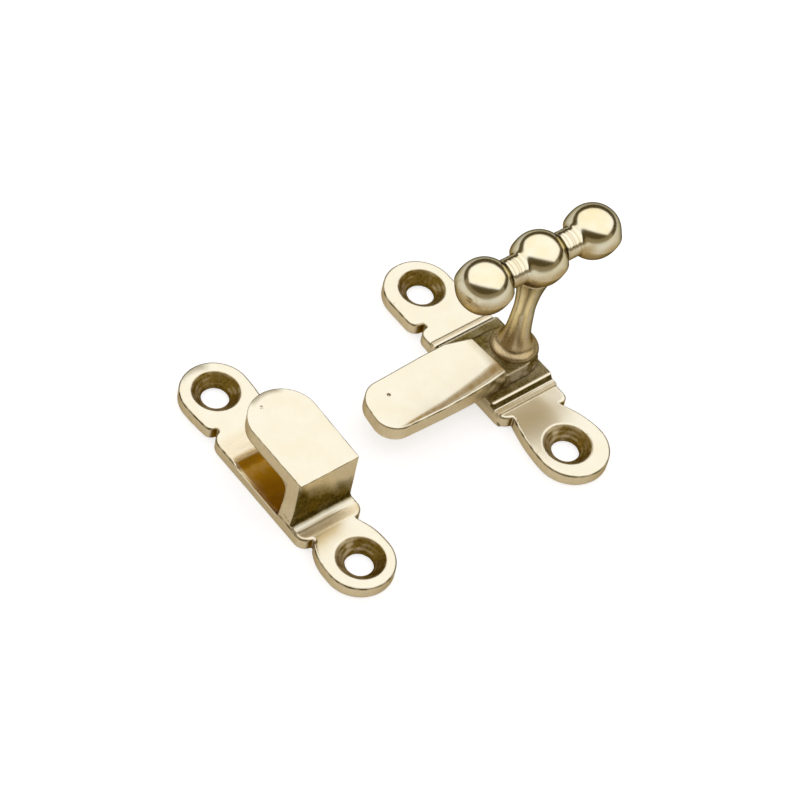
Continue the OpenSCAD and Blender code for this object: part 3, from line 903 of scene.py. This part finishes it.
studio = {
    "overhead": (1.09, 1.085, 1.12), "horizon": (0.07, 0.05, 0.015), "glow": (0.24, 0.2, 0.13),
    "glowHeight": 0.27, "beyond": 2.0, "near": 1.0, "sideways": 2.7,
    "softness": 0.12, "turn": 41.2, "lowest": 0.02,
}


def softLimit(tree, value, limit):
    # 1 inside the limit, falling smoothly to 0 across it
    outer, inner = limit * (1 + studio["softness"]), limit * (1 - studio["softness"])
    return mapRange(tree, value, outer, inner, smooth=True)


def makeWorld():
    # one large softbox overhead in a dark room, reaching further beyond the part than towards the camera
    world = bpy.data.worlds.new("studio")
    bpy.context.scene.world = world
    world.use_nodes = True
    tree = world.node_tree
    nodes, links = tree.nodes, tree.links
    place = nodes.new("ShaderNodeTexCoord")
    turned = nodes.new("ShaderNodeMapping")
    turned.inputs["Rotation"].default_value = (0, 0, -math.radians(studio["turn"]))
    links.new(place.outputs["Generated"], turned.inputs["Vector"])
    split = nodes.new("ShaderNodeSeparateXYZ")
    links.new(turned.outputs["Vector"], split.inputs[0])
    up = mathNode(tree, "MAXIMUM", split.outputs["Z"], studio["lowest"])
    sideways = mathNode(tree, "ABSOLUTE", mathNode(tree, "DIVIDE", split.outputs["X"], up))
    forward = mathNode(tree, "DIVIDE", split.outputs["Y"], up)
    backward = mathNode(tree, "MULTIPLY", forward, -1.0)
    box = mathNode(tree, "MULTIPLY", softLimit(tree, forward, studio["beyond"]),
                   softLimit(tree, backward, studio["near"]))
    box = mathNode(tree, "MULTIPLY", box, softLimit(tree, sideways, studio["sideways"]))
    # a faint glow low on the camera's side keeps the tops from going black when they are seen from behind
    low = mathNode(tree, "MULTIPLY", softLimit(tree, split.outputs["Z"], studio["glowHeight"]),
                   mathNode(tree, "LESS_THAN", split.outputs["Y"], 0.0))
    room = mixed(tree, low, studio["horizon"], studio["glow"])
    background = nodes["Background"]
    links.new(mixed(tree, box, room, studio["overhead"]), background.inputs["Color"])
    white = nodes.new("ShaderNodeBackground")
    white.inputs["Color"].default_value = (1, 1, 1, 1)
    mix = nodes.new("ShaderNodeMixShader")
    links.new(directRays(tree)[0], mix.inputs[0])
    links.new(background.outputs[0], mix.inputs[1])
    links.new(white.outputs[0], mix.inputs[2])
    links.new(mix.outputs[0], nodes["World Output"].inputs["Surface"])
    print("studio lit")


view = {"turn": 41.231, "height": 50.534, "roll": 13.803, "distance": 0.359593,
        "target": (0.000108, -0.015515, 0.005), "lens": 135.0, "sensorWidth": 36.0, "clipStart": 0.01}


def makeCamera():
    camera = addObject("camera", bpy.data.cameras.new("camera"))
    camera.data.lens = view["lens"]
    camera.data.sensor_width = view["sensorWidth"]
    camera.data.clip_start = view["clipStart"]
    turn, height = math.radians(view["turn"]), math.radians(view["height"])
    back = Vector((math.sin(turn) * math.cos(height), -math.cos(turn) * math.cos(height), math.sin(height)))
    right = Vector((0, 0, 1)).cross(back).normalized()
    up = back.cross(right)
    basis = Matrix((right, up, back)).transposed() @ Matrix.Rotation(math.radians(view["roll"]), 3, "Z")
    place = Vector(view["target"]) + back * view["distance"]
    camera.matrix_world = Matrix.Translation(place) @ basis.to_4x4()
    bpy.context.scene.camera = camera
    print("camera placed")


makeFloor()
makeWorld()
makeCamera()
bpy.context.scene.view_settings.view_transform = "Standard"
